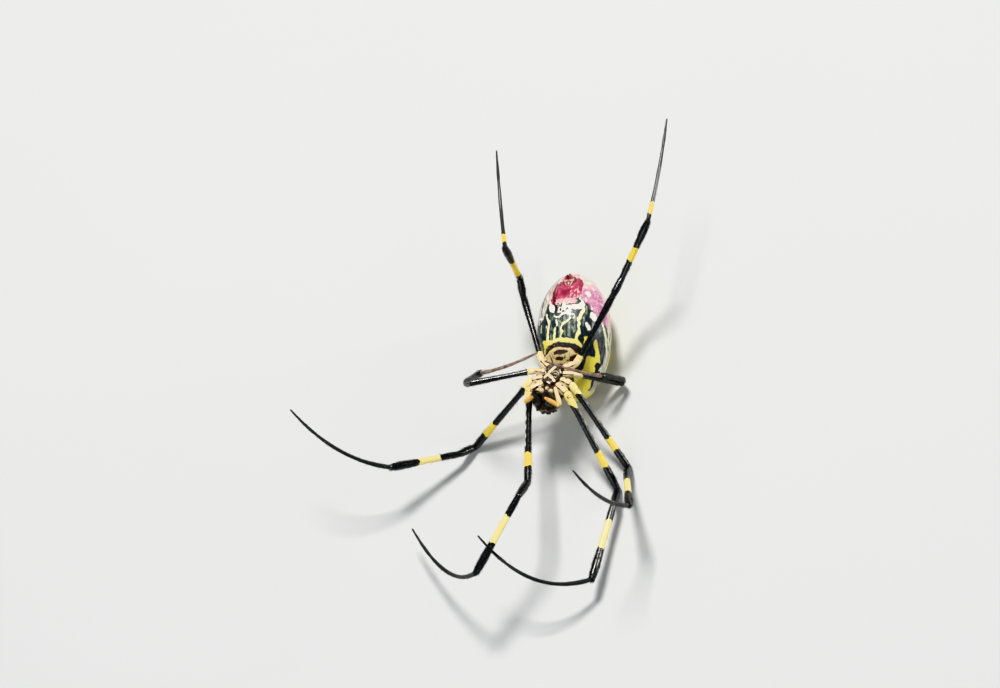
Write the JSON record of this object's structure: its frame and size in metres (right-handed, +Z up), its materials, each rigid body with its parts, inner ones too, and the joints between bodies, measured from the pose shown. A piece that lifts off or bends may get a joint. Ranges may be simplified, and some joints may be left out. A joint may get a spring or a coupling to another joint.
{
  "type": "golden silk orb weaver",
  "caption": "Adult female orb-weaving spider at life size, resting on its back with its long banded legs folded in the air.",
  "frame": {"origin": "centre of the bounding box at the floor", "axes": "+Z up, the belly's side; -Y towards the head, with the abdomen's length along Y; +X the spider's right side"},
  "size_m": [0.0434, 0.054, 0.0216],
  "materials": {
    "black_cuticle": "glossy black hard skin with yellow bands",
    "cream_cuticle": "glossy cream hard skin with dark edges",
    "dark_shell": "glossy dark brown shell",
    "head_shell": "dark brown shell under silvery down",
    "amber_cuticle": "glossy orange-yellow hard skin",
    "abdomen_skin": "smooth soft skin, patterned cream, yellow, slate, pink and crimson",
    "spinneret": "soft dark crimson skin with pale rims",
    "eye": "polished black",
    "down": "short silvery hairs"
  },
  "bodies": {
    "root": {"leg1_right_coxa": "cream_cuticle", "leg1_right_femur": "black_cuticle", "leg1_right_patella": "black_cuticle", "leg1_right_tibia": "black_cuticle", "leg1_right_foot": "black_cuticle", "leg1_left_coxa": "cream_cuticle", "leg1_left_femur": "black_cuticle", "leg1_left_patella": "black_cuticle", "leg1_left_tibia": "black_cuticle", "leg1_left_foot": "black_cuticle", "leg2_right_coxa": "cream_cuticle", "leg2_right_femur": "black_cuticle", "leg2_right_patella": "black_cuticle", "leg2_right_tibia": "black_cuticle", "leg2_right_foot": "black_cuticle", "leg2_left_coxa": "cream_cuticle", "leg2_left_femur": "black_cuticle", "leg2_left_patella": "black_cuticle", "leg2_left_tibia": "black_cuticle", "leg2_left_foot": "black_cuticle", "leg3_right_coxa": "cream_cuticle", "leg3_right_femur": "black_cuticle", "leg3_right_patella": "black_cuticle", "leg3_right_tibia": "black_cuticle", "leg3_right_foot": "black_cuticle", "leg3_left_coxa": "cream_cuticle", "leg3_left_femur": "black_cuticle", "leg3_left_patella": "black_cuticle", "leg3_left_tibia": "black_cuticle", "leg3_left_foot": "black_cuticle", "leg4_right_coxa": "cream_cuticle", "leg4_right_femur": "black_cuticle", "leg4_right_patella": "black_cuticle", "leg4_right_tibia": "black_cuticle", "leg4_right_foot": "black_cuticle", "leg4_left_coxa": "cream_cuticle", "leg4_left_femur": "black_cuticle", "leg4_left_patella": "black_cuticle", "leg4_left_tibia": "black_cuticle", "leg4_left_foot": "black_cuticle", "jaw_right": "dark_shell", "fang_right": "dark_shell", "palp_right": "amber_cuticle", "eye_middle_front_right": "eye", "eye_middle_rear_right": "eye", "eye_side_front_right": "eye", "eye_side_rear_right": "eye", "jaw_left": "dark_shell", "fang_left": "dark_shell", "palp_left": "amber_cuticle", "eye_middle_front_left": "eye", "eye_middle_rear_left": "eye", "eye_side_front_left": "eye", "eye_side_rear_left": "eye", "head_thorax": "head_shell", "breastplate": "dark_shell", "mouth": "dark_shell", "waist": "black_cuticle", "abdomen": "abdomen_skin", "spinnerets": "spinneret"}
  },
  "joints": []
}
